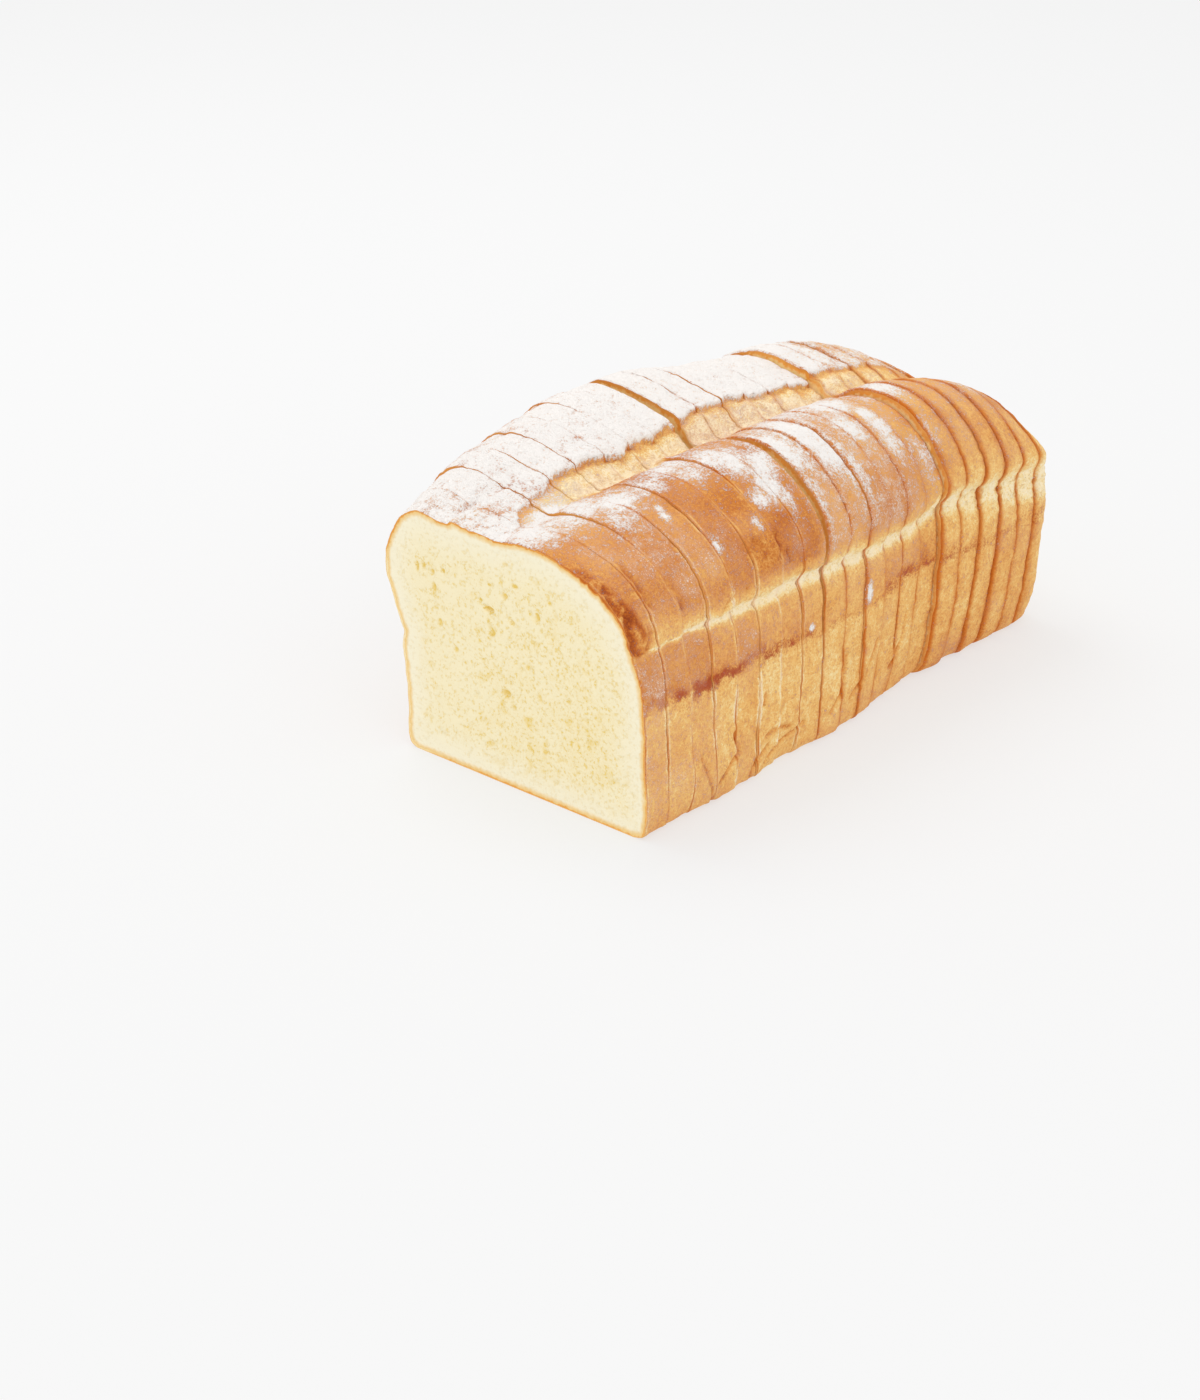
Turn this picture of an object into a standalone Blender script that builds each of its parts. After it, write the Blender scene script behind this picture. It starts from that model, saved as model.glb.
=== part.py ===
"""A sliced tin loaf whose twenty slices still stand together, cut face at the front.

Metres, +Z up. The loaf lies along Y: its cut end faces -Y and its baked heel is at +Y.
It is shaped in one piece, sliced across, and each slice is then set where it came to rest.
The origin is at the middle of the base.
"""

import math

import bmesh
import bpy
from mathutils import Vector

MM = 0.001

# Driving dimensions, in millimetres.
SLICES = 20
PITCH = 11.8  # one slice and its saw cut
SAW_CUT = 0.35
HEEL = 16.5
LENGTH = (SLICES - 1) * PITCH + HEEL
HALF_WIDTH = 55.0
SEAM_HEIGHT = 66.0
DOME_HEIGHT = 111.0
TIN_CORNER = 13.0  # radius, seen from above, of the corners at the heel
DOME_CORNER = 25.0  # the same from DOME_CORNER_FROM upwards, where the dome closes in more
DOME_CORNER_FROM = 90.0
TIN_FOOT = 7.0  # radius of the heel's lower edge
BEND_CUTS = (45.0, 66.0, 84.0)  # heights where a slice's cut faces may bend

# The dome sinks towards the heel from DOME_FALLS_FROM, along a superellipse, and draws in.
DOME_FALLS_FROM = 150.0
DOME_OVERREACH = 3.0
DOME_POWER, DOME_FLATNESS = 2.5, 0.6
DOME_DRAW_IN = 14.0

# How smooth the outline is, and how fast each side of the dome gains height behind the cut end.
SPLINE_STEPS = 2
LEFT_HASTE, RIGHT_HASTE = 2.1, 1.6
HEEL_SECTIONS = (0.75, 0.5, 0.3, 0.14, 0.04, 0.0)  # shares of the heel left behind each section

# Half-outlines of three cross-sections, from the right edge of the base, over the top, to its left
# edge, as (x, z). The points keep the same meaning in each: base, tin wall, seam, right lobe,
# the slash with its torn strip, left lobe, its overhang, tin line, tin wall, base.
CUT_END = (
    (50.0, 0.0), (53.6, 0.8), (55.0, 4.0), (55.6, 22.0), (55.4, 42.0), (53.4, 57.0),
    (50.6, 64.5), (49.6, 68.5), (46.0, 74.0), (38.0, 81.5), (27.0, 87.0), (15.0, 90.0),
    (4.0, 90.0), (-3.0, 89.0), (-8.0, 88.8), (-18.0, 90.0), (-29.5, 90.8), (-33.0, 88.4),
    (-41.0, 90.6), (-50.0, 88.0), (-57.0, 80.5), (-61.0, 70.0), (-61.0, 62.5), (-59.0, 59.5),
    (-56.5, 51.0), (-52.3, 43.0), (-53.8, 39.0), (-52.4, 24.0), (-52.0, 4.0), (-51.2, 0.8),
    (-48.0, 0.0),
)
MIDDLE = (
    (49.0, 0.0), (52.8, 0.8), (54.2, 4.0), (55.4, 22.0), (55.6, 42.0), (55.2, 58.0),
    (53.6, 66.0), (55.4, 71.0), (55.6, 79.0), (50.5, 88.5), (41.0, 97.0), (28.0, 104.0),
    (14.0, 104.8), (3.5, 101.0), (-3.0, 96.0), (-8.0, 99.2), (-12.5, 104.0), (-22.0, 107.8),
    (-34.0, 110.4), (-46.0, 111.4), (-56.5, 108.2), (-64.5, 97.5), (-66.0, 81.0), (-62.5, 64.0),
    (-58.0, 52.0), (-53.0, 43.0), (-54.4, 39.0), (-53.0, 24.0), (-52.4, 4.0), (-51.2, 0.8),
    (-47.0, 0.0),
)
REAR = (
    (41.5, 0.0), (46.0, 1.0), (48.2, 5.0), (51.4, 22.0), (52.8, 42.0), (52.6, 58.0),
    (51.2, 66.0), (53.0, 71.0), (53.0, 77.0), (48.2, 87.0), (39.0, 96.5), (27.0, 103.0),
    (13.5, 103.4), (5.0, 101.0), (-0.5, 97.2), (-5.5, 100.0), (-11.0, 103.0), (-19.0, 105.4),
    (-30.0, 107.6), (-41.0, 107.0), (-53.0, 101.8), (-61.0, 92.0), (-63.0, 78.0), (-60.0, 62.0),
    (-55.6, 51.0), (-51.5, 43.0), (-52.6, 39.0), (-51.2, 24.0), (-48.6, 5.0), (-46.6, 1.0),
    (-41.0, 0.0),
)
FULL_WIDTH_FROM, FULL_WIDTH_TO, REAR_FROM = 94.0, 112.0, 166.0
STATIONS = (
    (0.0, CUT_END), (FULL_WIDTH_FROM, MIDDLE), (FULL_WIDTH_TO, MIDDLE), (REAR_FROM, REAR),
    (LENGTH, REAR),
)

# How each slice came to rest: the gap before it at the base, how far that gap opens at the top,
# its slide along X, and how far its top has slumped.
SET_OUT = (
    (0.0, -2.4, 0.0, 0.0), (0.0, 0.1, 0.5, 0.4), (0.0, 0.1, -0.3, 0.0), (0.0, 0.1, 0.4, 0.3),
    (0.0, 0.1, 0.2, 0.0), (0.1, 0.1, 0.6, 0.3), (0.0, 0.1, -0.2, 0.0), (0.0, 0.1, 0.2, 0.4),
    (0.5, 4.4, 0.2, 0.0), (0.1, 0.9, -0.4, 0.4), (0.1, 0.2, 0.3, 0.0), (0.0, 0.3, -0.8, 0.5),
    (0.8, 0.3, -1.2, 1.2), (0.1, 0.2, -2.0, 2.8), (0.3, 0.4, 0.4, 0.0), (0.2, 0.3, -0.4, 0.0),
    (0.3, 0.5, 0.2, 0.0), (0.3, 0.6, 0.5, 0.0), (0.3, 0.6, 0.0, 0.0), (0.3, 0.5, 0.2, 0.0),
)

CRUST_COLOUR = (0.56, 0.27, 0.09, 1.0)
CRUMB_COLOUR = (0.88, 0.79, 0.52, 1.0)
CRUST_SLOT, CRUMB_SLOT = 0, 1

MERGE_DISTANCE = 1e-7
SHARP_ANGLE = math.radians(40)


def clear_scene():
    for obj in list(bpy.data.objects):
        bpy.data.objects.remove(obj, do_unlink=True)


def bread_material(name, colour, roughness):
    material = bpy.data.materials.new(name)
    material.use_nodes = True
    shader = material.node_tree.nodes["Principled BSDF"]
    shader.inputs["Base Color"].default_value = colour
    shader.inputs["Roughness"].default_value = roughness
    shader.inputs["Metallic"].default_value = 0.0
    return material


def settle(t, haste):
    """Rises fast at first and settles late, as a loaf does away from its end."""
    return 1 - (1 - t) ** haste


def section_points(y):
    """The control points of the cross-section at y. The left lobe rises faster than the right."""
    for (y0, here), (y1, there) in zip(STATIONS, STATIONS[1:]):
        if y <= y1:
            t = (y - y0) / (y1 - y0)
            return [
                Vector(a).lerp(Vector(b), settle(t, LEFT_HASTE if a[0] < 0 else RIGHT_HASTE))
                for a, b in zip(here, there)
            ]
    return [Vector(point) for point in STATIONS[-1][1]]


def smooth_line(points):
    """Catmull-Rom curve through the points, open at the base."""
    line = []
    last = len(points) - 1
    for i in range(last):
        before, a = points[max(i - 1, 0)], points[i]
        b, after = points[i + 1], points[min(i + 2, last)]
        for step in range(SPLINE_STEPS):
            t = step / SPLINE_STEPS
            line.append(
                0.5 * (2 * a + (b - before) * t + (2 * before - 5 * a + 4 * b - after) * t**2
                       + (3 * a - before - 3 * b + after) * t**3)
            )
    line.append(points[last])
    return line


def rounding(depth, radius):
    """Inset of a rounded corner at a depth inside it, where 0 is its far face."""
    reach = 1 - min(max(depth / radius, 0.0), 1.0)
    return radius * (1 - math.sqrt(1 - reach**2))


def corner_radius(z):
    """Radius of the corners at the heel, seen from above, at height z."""
    t = min(max((z - SEAM_HEIGHT) / (DOME_CORNER_FROM - SEAM_HEIGHT), 0.0), 1.0)
    return TIN_CORNER + (DOME_CORNER - TIN_CORNER) * t


def round_heel(point, y):
    """Draws the cross-section in where the tin's end wall and the domed top round off."""
    x, z = point
    to_end = LENGTH - y
    inset = rounding(to_end, corner_radius(z))
    if z > SEAM_HEIGHT:
        fall = max((y - DOME_FALLS_FROM) / (LENGTH + DOME_OVERREACH - DOME_FALLS_FROM), 0.0)
        kept = (1 - fall**DOME_POWER) ** DOME_FLATNESS
        inset += (1 - kept) * DOME_DRAW_IN * (z - SEAM_HEIGHT) / (DOME_HEIGHT - SEAM_HEIGHT)
        z = SEAM_HEIGHT + (z - SEAM_HEIGHT) * kept
    else:
        z = max(z, rounding(to_end, TIN_FOOT) * (1 - z / SEAM_HEIGHT))
    return x * (1 - inset / HALF_WIDTH), max(z, 0.0)


def station_depths():
    """Where the cross-sections stand: one at each saw cut, and more through the heel."""
    depths = [i * PITCH for i in range(SLICES)]
    depths += [LENGTH - HEEL * share for share in HEEL_SECTIONS]
    return depths


def shape_loaf():
    """The whole loaf as one closed body, lofted through its cross-sections."""
    shape = bmesh.new()
    rings = []
    for y in station_depths():
        outline = smooth_line(section_points(y))
        ring = [round_heel(point, y) for point in outline]
        rings.append([shape.verts.new((x * MM, y * MM, z * MM)) for x, z in ring])
    for ring, following in zip(rings, rings[1:]):
        for i in range(len(ring)):
            j = (i + 1) % len(ring)
            shape.faces.new((ring[i], ring[j], following[j], following[i]))
    cut_end = shape.faces.new(list(reversed(rings[0])))
    cut_end.material_index = CRUMB_SLOT
    shape.faces.new(rings[-1])
    bmesh.ops.recalc_face_normals(shape, faces=shape.faces)
    return shape


def bisect(shape, place, normal, clear_outer):
    """Cuts the shape's surface along a plane and returns the new edges."""
    found = bmesh.ops.bisect_plane(
        shape, geom=shape.verts[:] + shape.edges[:] + shape.faces[:], plane_co=place,
        plane_no=normal, clear_outer=clear_outer, dist=MERGE_DISTANCE,
    )
    return [item for item in found["geom_cut"] if isinstance(item, bmesh.types.BMEdge)]


def saw(shape, y, direction):
    """Saws across the loaf at y and keeps what is behind the direction, with a crumb face."""
    edges = bisect(shape, (0, y * MM, 0), (0, direction, 0), True)
    for face in bmesh.ops.holes_fill(shape, edges=edges)["faces"]:
        face.material_index = CRUMB_SLOT


def cut_slice(loaf, number):
    """One slice of the loaf, still where the saw left it."""
    shape = loaf.copy()
    front = number * PITCH
    back = front + PITCH - SAW_CUT
    if number > 0:
        saw(shape, front, -1)
    if number < SLICES - 1:
        saw(shape, back, 1)
    for height in BEND_CUTS:
        bisect(shape, (0, 0, height * MM), (0, 0, 1), False)
    return shape


def set_slice(shape, gap, bend, slide, slump):
    """Moves the slice back by its gaps, leans its top back, slides it and lets it slump."""
    for vert in shape.verts:
        height = vert.co.z / (DOME_HEIGHT * MM)
        vert.co.x += slide * MM
        vert.co.y += (gap + bend * height**2) * MM
        vert.co.z -= slump * MM * height


def slice_object(name, shape, materials):
    """A new object holding the shape, in the order of slots that CRUST_SLOT and CRUMB_SLOT give."""
    mesh = bpy.data.meshes.new(name)
    shape.to_mesh(mesh)
    shape.free()
    mesh.shade_smooth()
    mesh.set_sharp_from_angle(angle=SHARP_ANGLE)
    for material in materials:
        mesh.materials.append(material)
    return bpy.data.objects.new(name, mesh)


def build():
    clear_scene()
    collection = bpy.data.collections.new("tin_loaf")
    bpy.context.scene.collection.children.link(collection)
    materials = (
        bread_material("crust", CRUST_COLOUR, 0.75),
        bread_material("crumb", CRUMB_COLOUR, 0.95),
    )
    loaf = shape_loaf()
    gap = bend = 0.0
    slices = []
    for number, (more_gap, more_bend, slide, slump) in enumerate(SET_OUT):
        gap += more_gap
        bend += more_bend
        shape = cut_slice(loaf, number)
        set_slice(shape, gap, bend, slide, slump)
        name = "heel" if number == SLICES - 1 else f"slice_{number + 1:02d}"
        obj = slice_object(name, shape, materials)
        collection.objects.link(obj)
        slices.append(obj)
    loaf.free()
    centre_on_origin(slices, collection)


def centre_on_origin(slices, collection):
    """Parents the slices to one empty and moves it so that the origin is under the middle."""
    corners = [vert.co for obj in slices for vert in obj.data.vertices]
    middle = [(min(c[i] for c in corners) + max(c[i] for c in corners)) / 2 for i in range(2)]
    stand = bpy.data.objects.new("stand", None)
    stand.location = (-middle[0], -middle[1], 0)
    collection.objects.link(stand)
    for obj in slices:
        obj.parent = stand


build()
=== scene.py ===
"""The looks of a sliced tin loaf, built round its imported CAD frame.

Each CAD slice is replaced by a finely meshed one: a crust band with its seam, tears, wrinkles and
flour, between two cut faces of open crumb. The heel's far end is crust all over.

Measures of the loaf are in millimetres in loaf space: x to the right of the middle of the base,
y back from the cut face, z up. Meshes and everything in the scene are in metres.
"""

import math

import bmesh
import bpy
import numpy as np
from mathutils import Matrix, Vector
from mathutils.bvhtree import BVHTree


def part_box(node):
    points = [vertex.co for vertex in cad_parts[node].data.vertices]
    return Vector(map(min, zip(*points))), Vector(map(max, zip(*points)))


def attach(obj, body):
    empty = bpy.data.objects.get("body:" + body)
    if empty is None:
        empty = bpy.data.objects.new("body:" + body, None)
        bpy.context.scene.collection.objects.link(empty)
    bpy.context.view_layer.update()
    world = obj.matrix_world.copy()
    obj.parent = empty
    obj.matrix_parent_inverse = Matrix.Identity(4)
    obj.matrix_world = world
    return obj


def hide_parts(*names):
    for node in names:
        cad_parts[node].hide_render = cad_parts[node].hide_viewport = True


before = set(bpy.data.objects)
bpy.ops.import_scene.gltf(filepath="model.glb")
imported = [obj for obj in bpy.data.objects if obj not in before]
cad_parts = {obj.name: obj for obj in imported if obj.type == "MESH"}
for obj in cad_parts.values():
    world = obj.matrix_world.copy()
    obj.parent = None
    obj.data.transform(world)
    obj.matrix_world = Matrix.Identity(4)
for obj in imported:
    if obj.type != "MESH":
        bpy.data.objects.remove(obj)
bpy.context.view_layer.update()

MM = 0.001
SLICES = sorted(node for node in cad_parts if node.startswith("slice_"))
FIRST = SLICES[0]
HEEL = "heel"

# How finely the pieces are meshed.
AROUND = 560  # vertices round a slice
CRUMB_RINGS_IN_VIEW, CRUMB_RINGS = 90, 26  # rings that fill the first cut face, and the others
HEEL_ROWS_SIDE, HEEL_ROWS_END = 26, 70
CUT_EDGE_STEPS = (0.0, 0.12, 0.3, 0.6, 1.1)  # mm from a cut face, the rows of crust beside it
INNER_ROWS_FROM, INNER_ROWS_TO = 2.0, 1.6  # mm from the front cut and from the back cut
CRUST_STEP = 0.9  # mm between the inner rows of crust
TOUCHING = 0.05  # mm left between slices that stand close enough to spring back together
SPRING_BACK = 0.24  # mm, the furthest that a cut face springs back
SMOOTHING = 2  # vertices, over which the CAD's flat facets are blended
SHADED_RIM = 0.4  # inner cut faces are seen only near their rims, in the gaps; their crust line and golden band reach further in as painted shade
DEEP_INSIDE = 30.0  # mm from the rim, at the middle of a cut face
SLICE_SHIFT, CRUMB_SHIFT = 37.0, 31.7  # mm that noise moves on from one slice to the next

OUTLINE_CENTRE_HEIGHT = 50.0  # mm, the point inside a slice that its outline is drawn round
HEEL_CENTRE_DEPTH = 5.0  # mm behind its front cut, the point that the heel's surface is drawn round
CUT_FACE_NORMAL = 0.95
RELIEF_FROM_BASE = 3.0  # mm over which the relief grows, so the base stays flat
RIM_SEARCH = 16  # vertices each way round an outline, among which the nearest is looked for
WELD_DISTANCE = 1e-6
ON_BASE = 1e-5
SHARP_ANGLE = math.radians(50)


# ---------------------------------------------------------------- numbers


def smoothstep(low, high, value):
    t = np.clip((value - low) / (high - low), 0, 1)
    return t * t * (3 - 2 * t)


def bell(value, width):
    return np.exp(-((value / width) ** 2))


def lattice(x, y, z, seed):
    """A repeatable number from 0 to 1 for each whole-numbered point."""
    mixed = (x * 374761393 + y * 668265263 + z * 1440662683 + seed * 1274126177) & 0xFFFFFFFF
    mixed = ((mixed ^ (mixed >> 13)) * 1103515245) & 0xFFFFFFFF
    mixed = ((mixed ^ (mixed >> 15)) * 1274126177) & 0xFFFFFFFF
    return ((mixed ^ (mixed >> 16)) & 0xFFFF) / 65535.0


def noise(points, size, seed):
    """Smooth value noise from -1 to 1 whose lumps are about size mm across."""
    scaled = points / size
    cell = np.floor(scaled).astype(np.int64)
    part = scaled - cell
    part = part * part * (3 - 2 * part)
    total = 0.0
    for corner in range(8):
        step = [corner & 1, corner >> 1 & 1, corner >> 2 & 1]
        weight = 1.0
        for axis in range(3):
            share = part[..., axis]
            weight = weight * (share if step[axis] else 1 - share)
        x, y, z = (cell[..., axis] + step[axis] for axis in range(3))
        total = total + weight * lattice(x, y, z, seed)
    return 2 * total - 1


def layered(points, size, seed, layers=3):
    """Noise with finer layers on top, each half the size and half the strength of the last."""
    return sum(noise(points, size / 2**k, seed + k) / 2**k for k in range(layers))


def ridges(points, size, seed):
    """Thin meandering lines, 1 on a line and 0 away from it."""
    return bell(noise(points, size, seed), 0.09)


def blurred_round(values, reach):
    """Values round a closed outline, averaged over reach vertices each way."""
    steps = np.arange(-3 * reach, 3 * reach + 1)
    weights = np.exp(-0.5 * (steps / reach) ** 2)
    weights = weights / weights.sum()
    return sum(weight * np.roll(values, step, axis=0) for weight, step in zip(weights, steps))


# ---------------------------------------------------------------- the CAD's outlines


def solid_of(node):
    """A CAD node's mesh with its split corners joined again."""
    shape = bmesh.new()
    shape.from_mesh(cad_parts[node].data)
    bmesh.ops.remove_doubles(shape, verts=shape.verts, dist=WELD_DISTANCE)
    shape.normal_update()
    return shape


def base_middle():
    """World x of the middle of the first slice's flat base."""
    xs = [v.co.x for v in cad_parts[FIRST].data.vertices if v.co.z < ON_BASE]
    return (min(xs) + max(xs)) / 2


ANGLES = np.linspace(-math.pi, math.pi, AROUND, endpoint=False)
MIDDLE_X = base_middle()


class CutEdge:
    """The edge of one cut face: its radius round the outline's centre, and how the face leans.

    Facing is -1 for a slice's front and 1 for its back.
    """

    def __init__(self, node, facing):
        shape = solid_of(node)
        edge = set()
        for face in shape.faces:
            if face.normal.y * facing < CUT_FACE_NORMAL:
                continue
            for side in face.edges:
                if any(other.normal.y * facing < CUT_FACE_NORMAL for other in side.link_faces):
                    edge.update(tuple(vert.co) for vert in side.verts)
        shape.free()
        points = np.array(sorted(edge))
        x = points[:, 0] / MM - MIDDLE_X / MM
        z = points[:, 2] / MM
        angle = np.arctan2(z - OUTLINE_CENTRE_HEIGHT, x)
        radius = np.interp(
            ANGLES, angle, np.hypot(x, z - OUTLINE_CENTRE_HEIGHT), period=2 * math.pi
        )
        self.radius = blurred_round(radius, SMOOTHING)
        self.bend, self.base_y = np.polyfit(z**2, points[:, 1] / MM, 1)

    def y(self, z):
        return self.base_y + self.bend * z**2


def spring_back():
    """Soft bread closes behind the saw: moves facing cut faces towards each other."""
    for node, following in zip(SLICES, PIECES[1:]):
        back, front = BACKS[node], FRONTS[following]
        move = min((front.base_y - back.base_y - TOUCHING) / 2, SPRING_BACK)
        back.base_y += move
        front.base_y -= move


PIECES = SLICES + [HEEL]
FRONTS = {node: CutEdge(node, -1) for node in PIECES}
BACKS = {node: CutEdge(node, 1) for node in SLICES}
spring_back()
FRONT_Y = FRONTS[FIRST].base_y
LOAF_ORIGIN = np.array([MIDDLE_X / MM, FRONT_Y, 0.0])


def to_world(points):
    """Loaf space to metres."""
    return (points + LOAF_ORIGIN) * MM


def from_world(points):
    """Metres to loaf space."""
    return points / MM - LOAF_ORIGIN


# ---------------------------------------------------------------- what the oven and the baker did
#
# Unless its comment says otherwise, a table holds (y, value) along the loaf.


def along(table, y):
    return np.interp(y, *zip(*table))


# Where the loaf's sides, top and end begin, each over a short stretch of x, z or y.
RIGHT_SIDE, LEFT_SIDE = (18, 30), (-18, -30)
TOP = (66, 76)
HEEL_END = (238, 243)

# The seam where the loaf rose out of its tin, and the dark streak that the tin's rim left.
SEAM_HEIGHT = (
    (0, 64), (20, 65), (90, 65.6), (140, 64), (158, 65), (170, 67.5), (190, 66.5), (215, 63),
    (246, 59),
)
SEAM_WIDTH = (
    (0, 0.2), (22, 0.35), (31, 1.2), (42, 1.7), (62, 2.4), (140, 2.4), (160, 3.2), (176, 5.4),
    (246, 7.0),
)
STREAK_HEIGHT = (
    (0, 45.5), (10, 47.5), (28, 45.5), (55, 47.5), (80, 46), (100, 44), (145, 48.5), (246, 46),
)
STREAK_STRENGTH = (
    (0, 0.5), (10, 0.75), (25, 1.0), (50, 0.95), (75, 0.7), (105, 0.25), (130, 0.2), (142, 0.8),
    (165, 0.7), (185, 0.45), (246, 0.4),
)
LEFT_SEAM_HEIGHT, LEFT_SEAM_WIDTH = 53.0, 6.0
LEFT_STREAK_HEIGHT = 42.0

# The saw cuts: how far the crust rounds off, how dark and wide the line of painted gap shade beside
# each cut is, and how frayed.
EDGE_ROUNDING = ((0, 0.25), (88, 0.3), (100, 0.8), (150, 0.8), (170, 1.2), (246, 1.8))
GAP_SHADE_STRENGTH = ((0, 0.55), (90, 0.6), (98, 1.0), (246, 1.0))
GAP_SHADE_WIDTH = ((0, 0.4), (90, 0.45), (100, 0.75), (150, 0.7), (175, 1.0), (246, 1.2))
FRAYED = ((0, 1.0), (60, 1.1), (88, 0.9), (105, 0.3), (150, 0.2), (175, 0.0))

# The slash along the top: the left lobe's crust ends at x = TEAR_EDGE, over a strip of torn dough
# that reaches to x = STRIP_END.
TEAR_EDGE = (
    (0, -4), (8, -9), (16, -14.3), (32, -16.8), (38, -17.3), (47, -15.5), (60, -12.3), (98, -13.6),
    (111, -15.9), (122, -14.3), (141, -13.2), (240, -13),
)
STRIP_END = (
    (0, -6), (14, -10), (24, -9.5), (34, -7), (44, -5), (56, 1), (80, 3), (95, 0), (112, -3),
    (240, -4),
)
TEAR_STRENGTH = (
    (4, 0.0), (12, 0.35), (24, 0.6), (36, 0.75), (46, 1.0), (170, 1.0), (205, 0.5), (225, 0.0),
)

# How strongly the right lobe is baked.
DOME_BAKED = (
    (0, 0.64), (30, 0.68), (60, 0.71), (90, 0.67), (110, 0.62), (150, 0.58), (200, 0.50),
    (246, 0.46),
)

# Flour on the left lobe, and patches elsewhere: (x, y, half-width, half-length, how thick).
LOBE_FLOUR = (
    (0, 0.68), (25, 0.8), (50, 1.0), (150, 0.93), (185, 0.7), (215, 0.42), (246, 0.1),
)
FLOUR_PATCHES = (
    (-7, 22, 5, 12, 1.0), (0, 8, 10, 10, 0.8), (4, 24, 11, 13, 0.8), (12, 34, 9, 9, 0.95),
    (20, 27, 7, 7, 0.6), (14, 47, 7, 8, 0.65), (10, 62, 8, 12, 0.75), (20, 62, 7, 8, 0.6),
    (19, 74, 9, 9, 0.75), (29, 39.6, 2.4, 1.6, 1.1), (25.3, 40.5, 2.2, 1.5, 0.95),
    (44.8, 47.5, 2.6, 2.0, 0.95), (46.2, 66.7, 2.2, 1.8, 0.85), (32, 86, 6, 5, 0.95),
    (38.7, 82, 7, 5, 1.05), (40.5, 75.7, 4, 5, 0.9), (25.6, 77.5, 8, 6, 0.85),
    (43.7, 84.2, 6, 4, 0.75), (28, 99, 10, 5, 0.7), (20, 115, 11, 7, 0.8), (28.4, 116.6, 9, 6, 0.95),
    (36.4, 118, 7, 6, 0.85), (44, 121.5, 6, 5, 0.7), (49, 121.6, 5, 4, 0.5), (47.6, 96.7, 6, 4, 0.65),
    (13.7, 147.7, 9, 7, 0.85), (26, 153.5, 4.5, 3.5, 1.05), (30, 138.4, 7, 6, 0.85),
    (32, 153.6, 6, 4, 0.8), (38, 152, 6, 5, 0.6), (43, 166, 6, 5, 0.5), (42, 170.6, 5, 4, 0.5),
    (16.5, 176.5, 10, 6, 0.7), (25, 216, 8, 6, 0.3),
)
WALL_SPOTS = ((121.2, 50.5, 1.9, 3.6), (87.0, 48.0, 1.4, 1.2))  # (y, z, half-length, half-height)

# Thinner dust: how much, the x where it has ended, and the film so thin that crust shows through.
DUSTING = (
    (0, 0.42), (22, 0.34), (60, 0.26), (88, 0.34), (98, 0.74), (150, 0.68), (180, 0.42),
    (225, 0.3), (246, 0.05),
)
DUST_REACH = ((0, 40), (60, 54), (98, 66), (160, 64), (200, 50))
DOME_FILM = (
    (0, 0.2), (15, 0.55), (42, 0.5), (58, 0.2), (88, 0.2), (98, 1.0), (143, 0.95), (156, 0.3),
    (225, 0.2), (246, 0.0),
)
DULL_PATCHES = ((30.5, 80, 5, 6), (41, 84, 4, 5), (7, 52, 6, 8))  # (y, z, half-length, half-height)

# The bare glossy patch on the first slice's right shoulder: (z, how far back it reaches).
GLOSSY_BACK = (
    (62, 0), (64.5, 7), (67, 8.5), (71, 8), (75, 7), (80, 5.5), (86, 3.5), (90, 0),
)

# Creases in the right side, as lines through (y, z).
CREASES = (
    ((86, 12.1), (80, 11.3), (68, 7.9), (63, 4.8)), ((65, 11.2), (59, 8.3), (56, 3)),
    ((63, 14.9), (69.5, 16.3), (78, 14)), ((62.3, 32.2), (61.3, 27.9)),
    ((46, 22), (48.5, 15.3), (41, 10.4), (38, 8)), ((100, 10), (106, 16), (109, 30)),
    ((113, 12), (122, 18), (128, 30)), ((140, 14), (147, 22), (150, 33)), ((28, 20), (33, 9), (36, 2)),
    ((61.4, 86), (62.9, 83.4), (63.4, 80.2)), ((71.2, 85.2), (70.5, 81), (68.9, 78.1)),
    ((74, 80), (74.5, 76)), ((53.7, 72.7), (54.5, 70.6)), ((24.4, 75.3), (24.8, 73.6)),
    ((46.6, 71.2), (44, 70), (40.9, 67.5)), ((12.4, 87), (12.2, 82), (12.6, 77)),
)

# The fold that starts at the notch in the first cut face, as a line through (x, y).
FOLD = ((-31.0, -2), (-31.5, 6), (-30.0, 14), (-27.0, 22), (-20.0, 27))
FOLD_DEPTH = ((0, 1.0), (8, 1.0), (18, 0.8), (27, 0.0))

FOOT_FLARE = 1.6  # mm that the first slices' right feet stand out


def line_distance(a, b, line):
    """Distance from points (a, b) to a line through several points."""
    found = np.full(a.shape, np.inf)
    for (a0, b0), (a1, b1) in zip(line, line[1:]):
        da, db = a1 - a0, b1 - b0
        share = np.clip(((a - a0) * da + (b - b0) * db) / (da * da + db * db), 0, 1)
        found = np.minimum(found, np.hypot(a - a0 - share * da, b - b0 - share * db))
    return found


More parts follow.
